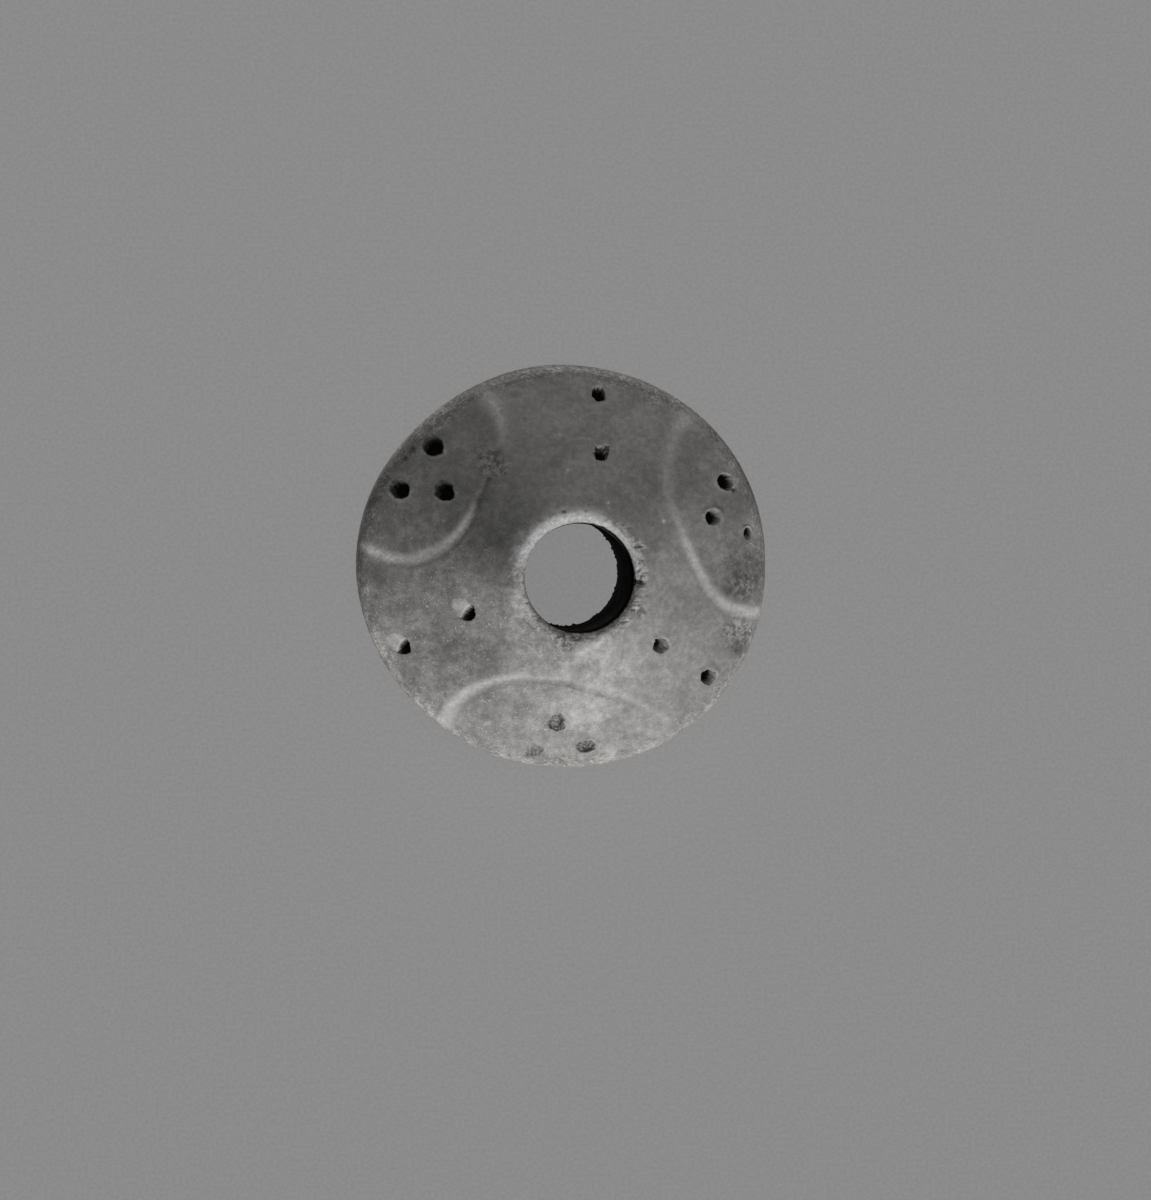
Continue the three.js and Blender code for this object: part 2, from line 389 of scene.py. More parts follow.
class Grain:
    """Smooth noise and scattered marks in space, the same on every run."""

    TABLE = 256

    def __init__(self, seed):
        draw = np.random.RandomState(seed)
        self.order = draw.permutation(self.TABLE)
        slants = draw.normal(size=(self.TABLE, 3))
        self.slants = slants / np.linalg.norm(slants, axis=1, keepdims=True)
        self.marks = draw.uniform(size=(self.TABLE, 4))
        self.shift = draw.uniform(0, self.TABLE, size=3)

    def cell_number(self, cell):
        number = self.order[cell[..., 0] % self.TABLE]
        number = self.order[(number + cell[..., 1]) % self.TABLE]
        return self.order[(number + cell[..., 2]) % self.TABLE]

    def smooth(self, points, size):
        """Noise of about -1 to 1 whose bumps are about this size."""
        place = points / size + self.shift
        corner = np.floor(place).astype(int)
        inside = place - corner
        ease = inside**3 * (inside * (inside * 6 - 15) + 10)
        total = np.zeros(len(points))
        for dx in (0, 1):
            for dy in (0, 1):
                for dz in (0, 1):
                    step = np.array([dx, dy, dz])
                    slant = self.slants[self.cell_number(corner + step)]
                    weight = np.prod(np.where(step, ease, 1 - ease), axis=1)
                    total += weight * np.einsum("ij,ij->i", slant, inside - step)
        return total * 1.6

    def rough(self, points, size, octaves=3):
        """Smooth noise with finer and weaker noise on it."""
        total = np.zeros(len(points))
        for k in range(octaves):
            total += self.smooth(points + 7.3 * k, size / 2**k) / 2**k
        return total

    def nearest_mark(self, points, size):
        """Distance to the nearest of marks scattered one to a cell, and that mark's number."""
        place = points / size + self.shift
        corner = np.floor(place).astype(int)
        nearest = np.full(len(points), np.inf)
        number = np.zeros(len(points))
        for dx in (-1, 0, 1):
            for dy in (-1, 0, 1):
                for dz in (-1, 0, 1):
                    cell = corner + np.array([dx, dy, dz])
                    mark = self.marks[self.cell_number(cell)]
                    away = np.linalg.norm(cell + mark[:, :3] - place, axis=1)
                    closer = away < nearest
                    nearest = np.where(closer, away, nearest)
                    number = np.where(closer, mark[:, 3], number)
        return nearest * size, number


def ease_between(low, high, value):
    """From 0 to 1, eased, as value goes from low to high."""
    part = np.clip((value - low) / (high - low), 0, 1)
    return part * part * (3 - 2 * part)


def facing(azimuth, middle, low, high):
    """From 0 to 1 as the cosine of the turn from this middle, in degrees, goes from low to high."""
    return ease_between(low, high, np.cos(azimuth - math.radians(middle)))


# The smooth form


def share_out(radius):
    return (radius - hole_radius) / (rim_radius - hole_radius)


def radius_at(share):
    return hole_radius + share * (rim_radius - hole_radius)


def hand_place(radius, azimuth, level):
    """Where a point of the true round form stands on the whorl as made by hand."""
    share = share_out(radius)
    swell = 0
    for lobes, high, crest in RIM_WAVES:
        swell = swell + high * np.cos(lobes * (azimuth - math.radians(crest)))
    reach = radius + share * swell
    return np.stack(
        [
            reach * np.cos(azimuth) + (1 - share) * HOLE_SHIFT[0],
            reach * np.sin(azimuth) + (1 - share) * HOLE_SHIFT[1],
            level + 0 * azimuth,
        ],
        axis=-1,
    )


def face_place(radius, azimuth):
    level = face_start[1] - (radius - face_start[0]) * math.tan(upper_slope)
    return hand_place(radius, azimuth, level)


def normal_at(angle, azimuth):
    outward = np.sin(angle)
    return np.stack(
        [outward * np.cos(azimuth), outward * np.sin(azimuth), np.cos(angle) + 0 * azimuth],
        axis=-1,
    )


# The scratched arcs


class Groove:
    """One scratched arc: its centre line on the face, and its depth and width along the way."""

    SAMPLES = 60

    def __init__(self, stations):
        plan = []
        for azimuth, share, depth, half_width, pale in stations:
            turn = math.radians(azimuth)
            reach = radius_at(share)
            plan.append((reach * math.cos(turn), reach * math.sin(turn), depth, half_width, pale))
        plan = np.array(plan)
        ends = [2 * plan[0] - plan[1], 2 * plan[-1] - plan[-2]]
        knots = np.vstack([ends[0], plan, ends[1]])
        line = []
        for before, start, end, after in zip(knots, knots[1:], knots[2:], knots[3:]):
            for t in np.arange(self.SAMPLES) / self.SAMPLES:
                straight = 2 * start + (end - before) * t
                bend = (2 * before - 5 * start + 4 * end - after) * t**2
                twist = (3 * start - before - 3 * end + after) * t**3
                line.append((straight + bend + twist) / 2)
        line = np.array(line)
        self.depth = line[:, 2]
        self.half_width = line[:, 3]
        self.pale = line[:, 4]
        self.line = face_place(np.hypot(line[:, 0], line[:, 1]), np.arctan2(line[:, 1], line[:, 0]))

    def measure(self, points):
        """Distance of each point from the centre line, with the depth, width and paleness there."""
        near = np.empty(len(points), dtype=int)
        gap = np.empty(len(points))
        batch = 4000
        for k in range(0, len(points), batch):
            part = points[k : k + batch]
            apart = ((part[:, None, :] - self.line[None]) ** 2).sum(axis=2)
            near[k : k + batch] = apart.argmin(axis=1)
            gap[k : k + batch] = np.sqrt(apart.min(axis=1))
        return gap, self.depth[near], self.half_width[near], self.pale[near]


grooves = [Groove(stations) for stations in ARCS]


# The pricked pits


class Pit:
    """One pit: the place and axis of the stick that made it, and how it was made."""

    def __init__(self, hole, make):
        azimuth, share, width, depth, lean, bearing = hole
        self.black_below, self.rag, self.dirt, self.pushed, self.ramp = make
        turn = math.radians(azimuth)
        normal = Vector(normal_at(upper_slope, turn))
        sideways = Vector((-math.sin(turn), math.cos(turn), 0))
        inward = normal.cross(sideways)
        tip = inward * math.cos(math.radians(bearing)) + sideways * math.sin(math.radians(bearing))
        axis = normal * math.cos(math.radians(lean)) - tip * math.sin(math.radians(lean))
        self.axis = np.array(axis)
        self.tip = np.array(tip)
        self.across = np.array(normal.cross(tip))
        self.place = face_place(np.array(radius_at(share)), np.array(turn))
        self.half_width = width / 2
        self.depth = depth

    def reach(self, points):
        """Distance from the pit's axis as a share of its half width."""
        offset = points - self.place
        along = offset @ self.axis
        return np.linalg.norm(offset - along[:, None] * self.axis, axis=1) / self.half_width

    def uphill(self, points):
        """From 0 to 1, how far each point is on the side away from the lamp."""
        return np.clip(0.5 + (points - self.place)[:, 1] / self.half_width, 0, 1)

    def fall(self, points):
        """How much of the depth each point may have: a shallow ramp, then all of it."""
        offset = (points - self.place) / self.half_width
        towards_tip = offset @ self.tip
        sideways = offset @ self.across
        edge = self.ramp + 0.3 * sideways**2
        return 0.1 + 0.9 * ease_between(edge - 0.2, edge + 0.1, towards_tip)


pits = [Pit(*values) for values in PITS]


# The worked surface


def plan_of(azimuth, share):
    turn = math.radians(azimuth)
    return face_place(np.array(radius_at(share)), np.array(turn))[:2]


def apart(points, azimuth, share):
    """Distance of each point, seen from above, from a place on the face."""
    return np.linalg.norm(points[:, :2] - plan_of(azimuth, share), axis=1)


def from_stroke(points, start, end):
    """Distance of each point, seen from above, from the line between two places on the face."""
    first = plan_of(*start)
    way = plan_of(*end) - first
    part = np.clip((points[:, :2] - first) @ way / (way @ way), 0, 1)
    return np.linalg.norm(points[:, :2] - first - part[:, None] * way, axis=1)


lump = Grain(11)
grit = Grain(23)
pore = Grain(37)
STREAKED = np.array([0.35, 1, 1])


def wear(flat, radius, share, azimuth, upper):
    """How much of the pale crumbled clay of the lip and of the rim each point has; the rim's grows
    towards the top, partly as painted light.
    """
    lip_reach = LIP_WEAR * (0.9 + 0.45 * grit.rough(flat, 1.2, 3))
    lip = 1 - ease_between(lip_reach - 0.6, lip_reach + 0.3, radius - hole_radius)
    # Rim wear grows towards the top: worn clay, and painted light where the rim turns up to the light
    top = np.clip(0.2 + np.sin(azimuth), 0, 1)
    rim_reach = RIM_WEAR * (0.7 + 0.2 * top + 0.6 * grit.rough(flat, 1.3, 3))
    rim = ease_between(1 - rim_reach - 0.05, 1 - rim_reach + 0.05, share)
    return lip * upper, rim * (0.8 + 0.2 * top)


def above_painted_shade(flat, level, azimuth):
    """From 0 to 1, how far each point is above the painted black shade on the hole's wall."""
    # The painted shade reaches higher everywhere but at the upper left, where the wall is lit
    shade_rise = facing(azimuth, 340, -0.6, -0.1)
    shade_top = WHORL_HEIGHT - 0.85 + 0.5 * shade_rise + 0.1 * grit.rough(flat, 0.5, 3)
    return ease_between(shade_top - 0.15, shade_top, level)


def relief(flat, level, angle, azimuth, lip_wear, rim_wear):
    """How far swells, grain, crumbs and pores lift each point, in millimetres."""
    lift = SWELL_HEIGHT * lump.rough(flat, 6.0, 2)
    lift += RIPPLE_HEIGHT * grit.rough(flat, 1.1, 2)
    lift += GRAIN_HEIGHT * grit.smooth(flat, 0.4)
    crumb = np.clip(grit.rough(flat * STREAKED, 0.6, 3) - 0.05, 0, 0.6)
    polished = 0.8 * facing(azimuth, 126, -0.6, 0.5)
    lift -= LIP_CRUMB_DEPTH * lip_wear * crumb * (1 - polished)
    lift -= RIM_CRUMB_DEPTH * rim_wear * np.clip(grit.rough(flat, 0.5, 2) + 0.2, 0, None)
    wall_foot = (angle < 0) * (1 - ease_between(0.8, 1.6, level))
    lift += WALL_CRUMB_HEIGHT * wall_foot * np.clip(grit.rough(flat, 0.4, 2) - 0.2, 0, 0.5)
    away, number = pore.nearest_mark(flat, PORE_SPACING)
    size = 0.1 + 0.14 * (number * 7 % 1)
    worn = np.clip(lip_wear + rim_wear, 0, 1)
    lift -= PORE_DEPTH * np.clip(1 - (away / size) ** 2, 0, 1) * (number < 0.06 + 0.3 * worn)
    return lift


def rim_tone_and_light(share, angle, azimuth):
    """The tone of the clay without its clouds: paler along the rim, most of all at the top and the
    left, partly worn clay and partly painted light, and painted light where the shoulder turns down
    at the left.
    """
    edge = ease_between(0.935, 0.985, share) * (np.abs(angle - upper_slope) < 1.3)
    at_top = facing(azimuth, 92, 0.35, 0.8)
    at_left = facing(azimuth, 218, 0.75, 0.95)
    # Pale rim: worn clay and painted light, most at the top and the left
    tone = 1 + edge * (0.2 + 1.1 * at_top + 0.25 * at_left)
    # Painted light where the shoulder turns down at the left
    turned = ease_between(1.05, 1.3, angle) * (angle < 1.9)
    tone *= 1 + 0.7 * turned * facing(azimuth, 165, 0.6, 0.95)
    return tone


def add_clouds_and_painted_light(face, tone):
    """Change the tone by the clouds of firing and wear and by the pools of painted light and shade.
    """
    for azimuth, share, reach, shade in CLOUDS_AND_PAINTED_LIGHT:
        gap = apart(face, azimuth, share) / reach
        tone *= shade ** np.exp(-(gap**2))


def crackled(face):
    """From 0 to 1, how crackled each point is."""
    crackle = np.zeros(len(face))
    for azimuth, share, reach in CRACKLES:
        gap = apart(face, azimuth, share) / reach + 0.3 * grit.rough(face, 0.8, 2)
        crackle = np.maximum(crackle, 1 - ease_between(0.5, 1.1, gap))
    return crackle


def add_scratches_and_shade_lines(face, lift, tone):
    """Change the lift and tone by the fine scratches and the painted shade lines."""
    for start, end, width, shade in SCRATCHES_AND_SHADE_LINES:
        gap = from_stroke(face, start, end) / width * 2
        stroke = np.exp(-(gap**2)) * np.clip(0.7 + 0.5 * grit.smooth(face, 0.6), 0, 1)
        lift += SCRATCH_RIDGE * stroke
        tone *= shade**stroke


def sink_grooves(face, lift):
    """Lower the lift by the scratched arcs, and tell how much pale clay shows in them."""
    shown = np.zeros(len(face))
    for groove in grooves:
        gap, depth, half_width, paleness = groove.measure(face)
        gap = np.abs(gap + 0.06 * grit.rough(face, 1.3, 2))
        cut = np.clip(1 - (gap / half_width) ** 2, 0, 1) ** 1.5
        rag = 1 + 0.2 * grit.rough(face, 0.9, 2)
        lift -= depth * rag * GROOVE_DEPTH * cut
        pale = np.exp(-((gap / half_width / 0.8) ** 2))
        shown = np.maximum(shown, paleness * rag * pale)
    return shown


def add_marks(face, lift, tone):
    """Change the lift and tone by the small marks, and tell which points are at one."""
    close = np.zeros(len(face), dtype=bool)
    for azimuth, share, width, height, shade in MARKS:
        gap = apart(face, azimuth, share) / width * 2 * (1 + 0.3 * grit.rough(face, 0.3, 2))
        mark = np.exp(-(gap**2))
        lift += height * mark
        tone *= shade**mark
        close |= gap < 1.6
    return close


def prick(pit, near, flat, normal, placed, masks, sharp):
    """Sink one pit among the points near it, paint black shade in it, fill it with dirt, paint a
    highlight on its rim on the lamp's side, and pale the clay on its ramp.
    """
    spot = flat[near]
    reach = pit.reach(spot) * (1 + pit.rag * grit.rough(spot, 0.65, 3))
    inside = np.clip(1 - reach**2, 0, 1)
    floor = 0.08 * pit.dirt * grit.rough(spot, 0.3, 2) * (inside > 0)
    lip = pit.pushed * pit.uphill(spot) * np.exp(-(((reach - 1.3) / 0.25) ** 2))
    fall = pit.fall(spot)
    drop = pit.depth * inside ** (0.4 + 0.5 * pit.dirt) * fall
    placed[near] += (floor - drop)[:, None] * pit.axis + lip[:, None] * normal[near]
    # Painted black shade below the black_below depth, and, where that is 0, round the mouth too
    dark = ease_between(pit.black_below - 0.2, pit.black_below + 0.1, drop) * (drop > 0)
    if pit.black_below == 0:
        dark = np.maximum(dark, 1 - ease_between(1.02, 1.2, reach))
    # Painted highlight on the rim's side towards the lamp, round the darkest pits
    rubbed_and_lit = np.exp(-(((reach - 1.3) / 0.12) ** 2)) * (1 - pit.uphill(spot))
    masks["tone"][near] *= 1 + 0.5 * rubbed_and_lit * (pit.black_below <= 0.2)
    filled = pit.dirt * (1 - ease_between(0.85, 1.15, reach))
    smear = 2 * (1 - fall) * inside**0.7 * (0.9 + 0.5 * grit.rough(spot, 0.7, 2))
    grown = {"painted_shade": dark, "dirt": filled, "groove": smear, "hollow": drop > pit.black_below}
    for name, values in grown.items():
        masks[name][near] = np.maximum(masks[name][near], values)
    sharp[near] |= reach < 1.4


def lip_powder_and_highlight(flat, radius, azimuth):
    """From 0 to 1, how pale the lip is: rubbed to pale powder in a wide band at the top, and a narrow
    painted highlight along its edge at the right.
    """
    out = radius - hole_radius
    ragged = out + 0.4 * grit.rough(flat, 0.7, 3)
    wide = ease_between(-0.2, 0.45, out) * (1 - ease_between(0.4, 1.9, ragged))
    # Narrow band at the right: painted highlight on the lip's edge
    narrow = 1 - ease_between(0.4, 0.7, out)
    at_top = facing(azimuth, 118, 0.45, 0.8)
    at_right = facing(azimuth, 42, 0.6, 0.95)
    return np.maximum(wide * at_top, narrow * at_right)


def sandy(flat, azimuth):
    """From 0 to 1, how sandy and mottled the skin of the clay is."""
    sand = np.maximum(0.15, (0.5 + 0.5 * np.cos(azimuth + math.radians(140))) ** 2)
    sand = np.maximum(sand, np.exp(-((apart(flat, 168, 0.68) / 2) ** 2)))
    return np.maximum(sand, 0.9 * np.exp(-((apart(flat, 2, 0.85) / 3) ** 2)))


def carve(radius, level, angle, azimuth):
    """Points of the worked surface in millimetres, what its colours need, and where it is sharp."""
    flat = hand_place(radius, azimuth, level)
    normal = normal_at(angle, azimuth)
    share = share_out(radius)
    upper = (np.abs(angle - upper_slope) < 0.9) & (radius > upper_lip.out)
    above = above_painted_shade(flat, level, azimuth)
    lip_wear, rim_wear = wear(flat, radius, share, azimuth, np.maximum(upper, above))
    lift = relief(flat, level, angle, azimuth, lip_wear, rim_wear)
    # The hole's wall below the shade's top is painted black as shade
    painted_shade = (1 - above) * (angle < 0) * (level > 0)
    masks = {
        "tone": rim_tone_and_light(share, angle, azimuth),
        "groove": np.zeros(len(flat)),
        "painted_shade": painted_shade,
        "hollow": (painted_shade > 0.9).astype(float),
        "dirt": np.zeros(len(flat)),
        "crackle": np.zeros(len(flat)),
        "lip_wear": lip_wear,
        "rim_wear": rim_wear,
    }

    picked = np.flatnonzero(upper | (above > 0))
    face = flat[picked]
    face_lift = lift[picked]
    face_tone = masks["tone"][picked]
    add_clouds_and_painted_light(face, face_tone)
    add_scratches_and_shade_lines(face, face_lift, face_tone)
    masks["crackle"][picked] = crackled(face)
    masks["groove"][picked] = sink_grooves(face, face_lift)
    sharp = (lip_wear > 0.3) & (radius > hole_radius)
    sharp[picked] |= add_marks(face, face_lift, face_tone)
    lift[picked] = face_lift
    masks["tone"][picked] = face_tone

    placed = flat + normal * lift[:, None]
    for pit in pits:
        near = picked[pit.reach(face) < 2]
        prick(pit, near, flat, normal, placed, masks, sharp)
    placed[:, 2] = np.clip(placed[:, 2], 0, None)

    # The hollow faces out in the pits are painted the deepest black as shade
    masks["pit"] = (masks["hollow"] > 0) & (radius > hole_radius + UPPER_LIP_RADIUS)
    masks["powder_and_highlight"] = lip_powder_and_highlight(flat, radius, azimuth) * (upper | (above > 0.5))
    masks["sand"] = sandy(flat, azimuth)
    return placed, masks, sharp


def cell_corners(places, steps):
    """The cells of the mesh, each as (azimuth step, row step, size round, size along)."""
    cells = []
    for row, step in enumerate(steps):
        azimuths = np.arange(0, STEPS_ROUND, step)
        middle = (azimuths + step / 2) * 2 * HALF_TURN / STEPS_ROUND
        radius, level, angle = places[row * SPLIT + 1]
        even = np.full(len(azimuths), 1.0)
        sharp = carve(radius * even, level * even, angle * even, middle)[2]
        for start, split in zip(azimuths, sharp):
            if split:
                part = step // SPLIT
                for k in range(SPLIT):
                    for j in range(SPLIT):
                        cells.append((start + k * part, row * SPLIT + j, part, 1))
            else:
                cells.append((start, row * SPLIT, step, SPLIT))
    return np.array(cells)


def faces_of(cells, rows):
    """Each cell as a face whose corners are all the mesh points on its edge."""
    used = np.zeros((STEPS_ROUND, rows), dtype=bool)
    for across in (0, 1):
        for along in (0, 1):
            u = (cells[:, 0] + across * cells[:, 2]) % STEPS_ROUND
            v = (cells[:, 1] + along * cells[:, 3]) % rows
            used[u, v] = True
    index = np.full(used.shape, -1)
    index[used] = np.arange(used.sum())
    faces = []
    for u, v, wide, long in cells:
        edge = [(u, v + k) for k in range(long)]
        edge += [(u + k, v + long) for k in range(wide)]
        edge += [(u + wide, v + long - k) for k in range(long)]
        edge += [(u + wide - k, v) for k in range(wide)]
        corners = [index[a % STEPS_ROUND, b % rows] for a, b in edge]
        faces.append([int(c) for c in corners if c >= 0])
    return np.argwhere(used), faces


def whorl_surface():
    """The one visible mesh, with the masks of its colours at each point."""
    places, steps = section_rows()
    cells = cell_corners(places, steps)
    corners, faces = faces_of(cells, len(places))
    azimuth = corners[:, 0] * 2 * HALF_TURN / STEPS_ROUND
    radius, level, angle = places[corners[:, 1]].T
    points, masks, _ = carve(radius, level, angle, azimuth)
    mesh = bpy.data.meshes.new("whorl_surface")
    mesh.from_pydata((points * MM).tolist(), [], faces)
    mesh.update()
    mesh.polygons.foreach_set("use_smooth", [True] * len(mesh.polygons))
    # Faces wholly in the painted black shade take the second material, black paint for shade
    hollow = masks.pop("hollow") > 0
    mesh.polygons.foreach_set("material_index", [int(all(hollow[face])) for face in faces])
    for name, values in masks.items():
        attribute = mesh.attributes.new(name, "FLOAT", "POINT")
        attribute.data.foreach_set("value", values.astype(np.float32))
    piece = bpy.data.objects.new("whorl_surface", mesh)
    bpy.context.collection.objects.link(piece)
    return piece


# Materials


class Nodes:
    """Short names for making a material's nodes."""

    def __init__(self, name):
        self.material = bpy.data.materials.new(name)
        self.material.use_nodes = True
        self.tree = self.material.node_tree
        self.shader = self.tree.nodes["Principled BSDF"]

    def add(self, kind, **values):
        node = self.tree.nodes.new(kind)
        for key, value in values.items():
            setattr(node, key, value)
        return node

    def link(self, source, socket):
        self.tree.links.new(source, socket)

    def feed(self, socket, value):
        """Give a socket a number, a colour or another node's output."""
        if isinstance(value, tuple):
            socket.default_value = (*value, 1)
        elif isinstance(value, (int, float)):
            socket.default_value = value
        else:
            self.link(value, socket)

    def place(self):
        return self.add("ShaderNodeTexCoord").outputs["Object"]

    def noise(self, size, detail=3.0, rough=0.5):
        """Noise between 0 and 1 whose bumps are about this many millimetres."""
        node = self.add("ShaderNodeTexNoise")
        node.inputs["Scale"].default_value = 1 / (size * MM)
        node.inputs["Detail"].default_value = detail
        node.inputs["Roughness"].default_value = rough
        self.link(self.place(), node.inputs["Vector"])
        return node.outputs["Fac"]

    def round_noise(self, along, across):
        """Noise whose bumps, this many millimetres in size, run round the whorl."""
        parts = self.add("ShaderNodeSeparateXYZ")
        self.link(self.place(), parts.inputs[0])
        turn = self.math("ARCTAN2", parts.outputs["Y"], parts.outputs["X"])
        reach = self.add("ShaderNodeVectorMath", operation="LENGTH")
        self.link(self.place(), reach.inputs[0])
        spread = self.add("ShaderNodeCombineXYZ")
        scale = 1 / (across * MM)
        self.link(self.times(turn, rim_radius / along), spread.inputs["X"])
        self.link(self.times(reach.outputs["Value"], scale), spread.inputs["Y"])
        self.link(self.times(parts.outputs["Z"], scale), spread.inputs["Z"])
        node = self.add("ShaderNodeTexNoise")
        node.inputs["Scale"].default_value = 1
        node.inputs["Detail"].default_value = 3
        self.link(spread.outputs[0], node.inputs["Vector"])
        return node.outputs["Fac"]

    def mask(self, name):
        return self.add("ShaderNodeAttribute", attribute_name=name).outputs["Fac"]

    def math(self, operation, first, second):
        node = self.add("ShaderNodeMath", operation=operation)
        for socket, value in zip(node.inputs, (first, second)):
            self.feed(socket, value)
        return node.outputs[0]

    def times(self, first, second):
        return self.math("MULTIPLY", first, second)

    def ramp(self, value, low, high, start=0.0, end=1.0):
        """start below low and end above high, eased between."""
        node = self.add("ShaderNodeMapRange", interpolation_type="SMOOTHSTEP")
        self.link(value, node.inputs["Value"])
        node.inputs["From Min"].default_value = low
        node.inputs["From Max"].default_value = high
        node.inputs["To Min"].default_value = start
        node.inputs["To Max"].default_value = end
        return node.outputs["Result"]

    def blend(self, share, first, second):
        """A number that goes from first to second as share goes from 0 to 1."""
        node = self.add("ShaderNodeMix", data_type="FLOAT")
        sockets = (node.inputs[0], node.inputs[2], node.inputs[3])
        for socket, value in zip(sockets, (share, first, second)):
            self.feed(socket, value)
        return node.outputs[0]

    def mix(self, share, first, second, blend="MIX"):
        """A colour that goes from first to second as share goes from 0 to 1."""
        node = self.add("ShaderNodeMix", data_type="RGBA", blend_type=blend)
        sockets = (node.inputs[0], node.inputs[6], node.inputs[7])
        for socket, value in zip(sockets, (share, first, second)):
            self.feed(socket, value)
        return node.outputs[2]

    def tint(self, colour, factor):
        """The colour multiplied by a number or by another colour."""
        return self.mix(1.0, colour, factor, "MULTIPLY")


def grey(level, warmth=0.03):
    """A grey of this linear brightness, very slightly warm."""
    return (level * (1 + warmth), level, level * (1 - warmth))


def fired_colour(clay):
    """The clay's own grey: clouds, mottle and grain, stronger where its skin is sandy."""
    clouds = clay.ramp(clay.noise(4.0, 4.0, 0.6), 0.35, 0.65, 0.87, 1.13)
    mottle = clay.ramp(clay.noise(1.4, 5.0, 0.7), 0.35, 0.65, 0.74, 1.24)
    mottle = clay.blend(clay.ramp(clay.mask("sand"), 0, 0.6, 0.3, 1), 1, mottle)
    grain = clay.ramp(clay.noise(0.13, 3.0, 0.7), 0.35, 0.65, 0.82, 1.18)
    grain = clay.blend(clay.ramp(clay.mask("sand"), 0, 0.6, 0.5, 1), 1, grain)
    tone = clay.times(clay.times(clay.times(clouds, mottle), grain), clay.mask("tone"))
    crazed = clay.ramp(clay.noise(0.5, 4.0, 0.75), 0.4, 0.6, 0.6, 1.4)
    tone = clay.blend(clay.mask("crackle"), tone, clay.times(tone, crazed))
    uneven = clay.ramp(clay.noise(0.5, 3.0, 0.6), 0.35, 0.65, 0.9, 1.1)
    return clay.tint(clay.tint(grey(CLAY_GREY), tone), uneven)


def worn_colour(clay, colour):
    """Pale flakes round the hole, pale powder and a painted highlight on the lip, pale flecks along
    the rim (partly painted light at the top) and dark gaps along the rim.
    """
    flakes = clay.ramp(clay.noise(0.5, 4.0, 0.7), 0.42, 0.62)
    chipped = clay.times(clay.times(clay.mask("lip_wear"), flakes), 0.55)
    colour = clay.mix(chipped, colour, grey(CHIP_GREY))
    # Rim flecks: worn clay, partly painted light at the top
    flecks = clay.ramp(clay.round_noise(0.35, 0.14), 0.5, 0.6)
    rubbed_and_lit = clay.times(clay.mask("rim_wear"), flecks)
    colour = clay.mix(rubbed_and_lit, colour, clay.tint(colour, grey(1.6)))
    gaps = clay.ramp(clay.noise(0.3, 4.0, 0.8), 0.5, 0.42)
    gaps = clay.times(clay.times(clay.mask("rim_wear"), gaps), 0.42)
    colour = clay.mix(gaps, colour, grey(PORE_GREY))
    # Pale powder on the lip, with the painted highlight along its edge
    powder_and_highlight = clay.ramp(clay.noise(0.3, 4.0, 0.7), 0.36, 0.64, 0.23, 0.37)
    return clay.mix(clay.times(clay.mask("powder_and_highlight"), 0.8), colour, powder_and_highlight)


def speckled_colour(clay, colour, worn):
    """Pale specks and dark pores, more of them where the clay is worn or sandy."""
    rough = clay.math("MAXIMUM", worn, clay.mask("sand"))
    rough = clay.times(rough, clay.ramp(clay.noise(1.3, 3.0, 0.6), 0.38, 0.6, 0.25, 1.15))
    specks = clay.math("GREATER_THAN", clay.noise(0.2, 2.0, 0.5), clay.blend(rough, 0.78, 0.64))
    colour = clay.mix(clay.times(specks, 0.5), colour, grey(SPECK_GREY))
    pores = clay.math("GREATER_THAN", clay.noise(0.23, 2.0, 0.5), clay.blend(rough, 0.78, 0.65))
    return clay.mix(clay.times(pores, 0.35), colour, grey(PORE_GREY))


def ornament_colour(clay, colour):
    """Pale clay in the scratched arcs, dirt in the pits, and painted black shade in the pits and on
    the hole's wall.
    """
    patchy = clay.ramp(clay.noise(0.3, 4.0, 0.7), 0.35, 0.6, 0.4, 0.75)
    colour = clay.mix(clay.times(clay.mask("groove"), patchy), colour, grey(SCORED_GREY))
    filling = clay.ramp(clay.noise(0.24, 2.0, 0.6), 0.44, 0.62, 0.01, 0.13)
    colour = clay.mix(clay.times(clay.mask("dirt"), 0.9), colour, filling)
    # Painted black shade
    return clay.mix(clay.mask("painted_shade"), colour, grey(PAINTED_SHADE_GREY))


def clay_material():
    """Low-fired grey clay, softly burnished, dull where it is worn, painted black as shade, or
    crackled.
    """
    clay = Nodes("fired_clay")
    worn = clay.math("MAXIMUM", clay.mask("lip_wear"), clay.mask("rim_wear"))
    colour = worn_colour(clay, fired_colour(clay))
    colour = ornament_colour(clay, speckled_colour(clay, colour, worn))
    clay.link(colour, clay.shader.inputs["Base Color"])

    gloss = clay.ramp(clay.noise(1.6, 3.0, 0.6), 0.35, 0.65, 0.56, 0.7)
    dull = clay.math("MAXIMUM", worn, clay.mask("painted_shade"))
    dull = clay.math("MAXIMUM", dull, clay.mask("crackle"))
    clay.link(clay.blend(dull, gloss, 0.9), clay.shader.inputs["Roughness"])
    clay.shader.inputs["Specular IOR Level"].default_value = 0.5
    bump = clay.add("ShaderNodeBump")
    bump.inputs["Distance"].default_value = 0.03 * MM
    bump.inputs["Strength"].default_value = 0.5
    clay.link(clay.noise(0.25, 3.0, 0.6), bump.inputs["Height"])
    clay.link(bump.outputs["Normal"], clay.shader.inputs["Normal"])
    return clay.material


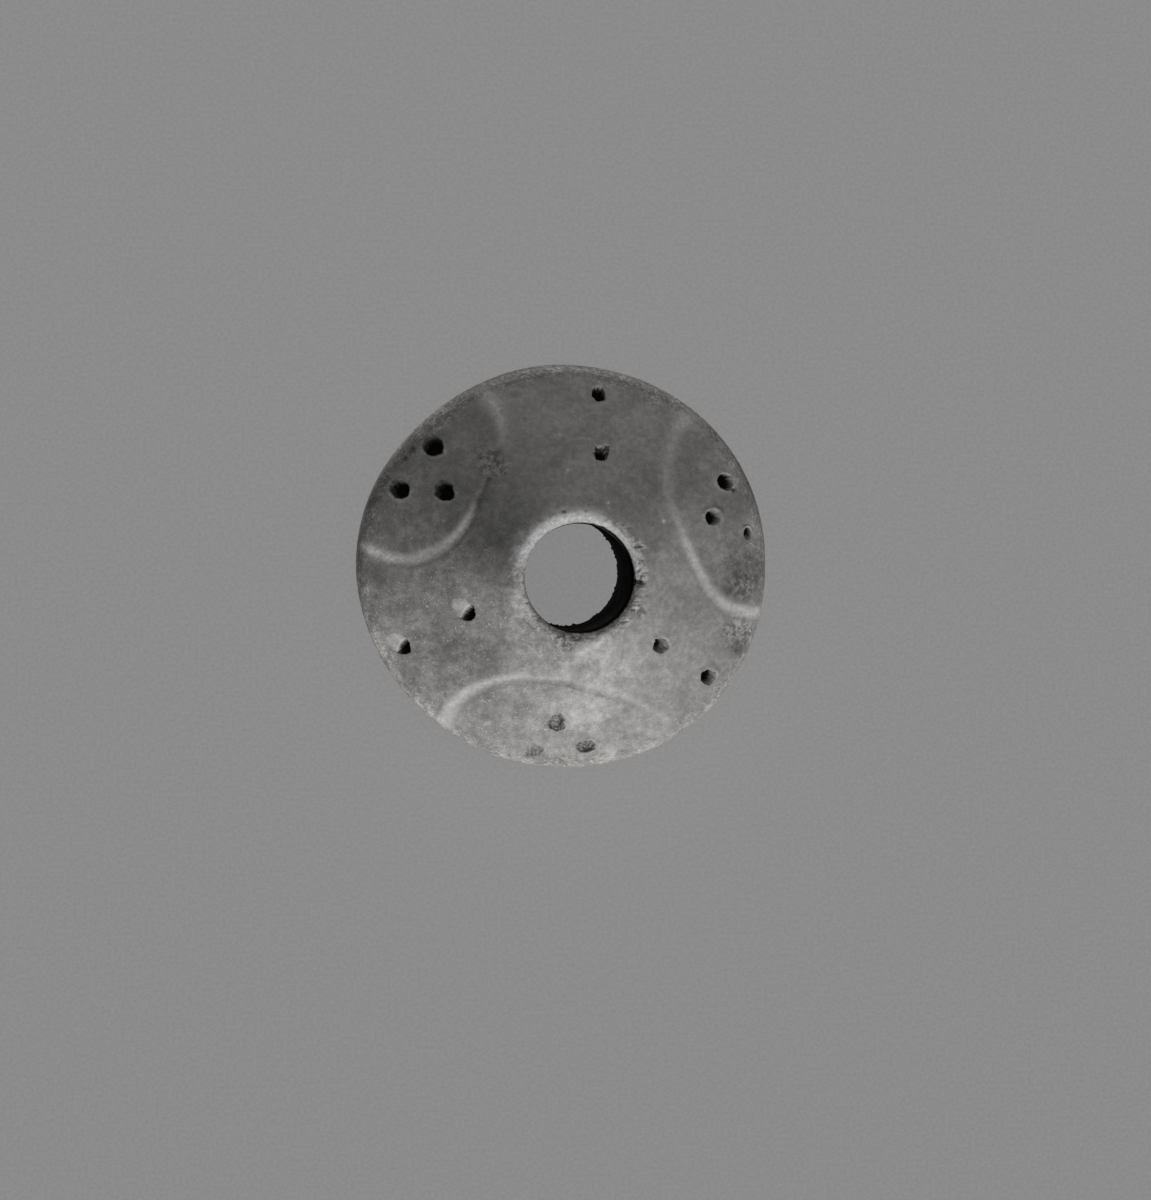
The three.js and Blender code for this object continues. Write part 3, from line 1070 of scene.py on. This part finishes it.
def painted_shade_material():
    """Painted black shade for the hole's wall and deep in the pits, blackest at the top of the wall
    and in the pits.
    """
    shade_paint = Nodes("painted_shade_black")
    unevenness = shade_paint.ramp(shade_paint.noise(0.8, 4.0, 0.6), 0.35, 0.65, 0.7, 1.3)
    height = shade_paint.add("ShaderNodeSeparateXYZ")
    shade_paint.link(shade_paint.place(), height.inputs[0])
    top = (WHORL_HEIGHT - 1) * MM
    shade = shade_paint.ramp(height.outputs["Z"], top - 2 * MM, top, 0.035, 0.006)
    wall = shade_paint.tint(grey(1), shade_paint.times(unevenness, shade))
    shade_paint.link(shade_paint.mix(shade_paint.mask("pit"), wall, grey(DEEP_SHADE_GREY)), shade_paint.shader.inputs["Base Color"])
    shade_paint.shader.inputs["Roughness"].default_value = 1
    shade_paint.shader.inputs["Specular IOR Level"].default_value = 0
    return shade_paint.material


def floor_material():
    """The pale matt sheet under the whorl."""
    paper = Nodes("pale_floor")
    grain = paper.ramp(paper.noise(0.3, 3.0, 0.6), 0.3, 0.7)
    paper.link(paper.mix(grain, grey(0.74, 0), grey(0.82, 0)), paper.shader.inputs["Base Color"])
    paper.shader.inputs["Roughness"].default_value = 0.9
    paper.shader.inputs["Specular IOR Level"].default_value = 0.1
    return paper.material


# Stage


def make_floor():
    half = FLOOR_REACH
    corners = [(-half, -half, 0), (half, -half, 0), (half, half, 0), (-half, half, 0)]
    mesh = bpy.data.meshes.new("floor")
    mesh.from_pydata(corners, [], [(0, 1, 2, 3)])
    floor = bpy.data.objects.new("floor", mesh)
    floor.data.materials.append(floor_material())
    bpy.context.collection.objects.link(floor)


def make_sun(name, azimuth, height, strength, width):
    """A far lamp that stands over this azimuth at this height, both in degrees."""
    data = bpy.data.lights.new(name, "SUN")
    data.energy = strength
    data.angle = math.radians(width)
    lamp = bpy.data.objects.new(name, data)
    turn = math.radians(azimuth)
    rise = math.radians(height)
    level = math.cos(rise)
    towards = Vector((level * math.cos(turn), level * math.sin(turn), math.sin(rise)))
    lamp.rotation_euler = towards.to_track_quat("Z", "Y").to_euler()
    bpy.context.collection.objects.link(lamp)
    return lamp


def light_only(lamp, pieces):
    """The lamp reaches these pieces and nothing else."""
    lit = bpy.data.collections.new(lamp.name + "_reach")
    for piece in pieces:
        lit.objects.link(piece)
    lamp.light_linking.receiver_collection = lit


def make_world():
    world = bpy.data.worlds.new("studio")
    world.use_nodes = True
    background = world.node_tree.nodes["Background"]
    background.inputs["Color"].default_value = (WORLD_GREY, WORLD_GREY, WORLD_GREY, 1)
    background.inputs["Strength"].default_value = WORLD_STRENGTH
    bpy.context.scene.world = world


def make_camera():
    across, along = VIEW_LEAN
    back = Vector((across, along, math.sqrt(1 - across**2 - along**2)))
    right = Vector((0, 1, 0)).cross(back).normalized()
    up = back.cross(right)
    away = Vector(AIMED_AT) + back * CAMERA_AWAY
    data = bpy.data.cameras.new("camera")
    data.sensor_fit = "VERTICAL"
    data.lens = data.sensor_height * PIXELS_A_MM * CAMERA_AWAY / PHOTO_HIGH
    data.clip_start = 0.05
    data.clip_end = 20
    camera = bpy.data.objects.new("camera", data)
    turn = Matrix((right, up, back)).transposed().to_4x4()
    camera.matrix_world = Matrix.Translation(away * MM) @ turn
    bpy.context.collection.objects.link(camera)
    bpy.context.scene.camera = camera


whorl = whorl_surface()
whorl.data.materials.append(clay_material())
whorl.data.materials.append(painted_shade_material())
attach(whorl, "root")
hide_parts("whorl")

make_floor()
make_world()
lean_way = math.degrees(math.atan2(VIEW_LEAN[1], VIEW_LEAN[0]))
view_lean = math.degrees(math.asin(math.hypot(*VIEW_LEAN)))
overhead_height = 90 - OVERHEAD_LEAN * view_lean
make_sun("overhead", lean_way, overhead_height, OVERHEAD_STRENGTH, OVERHEAD_WIDTH)
light_only(make_sun("key", *KEY_LAMP), [whorl])
light_only(make_sun("top_fill", *FILL_LAMP), [whorl])
make_camera()
bpy.context.scene.view_settings.view_transform = "Standard"
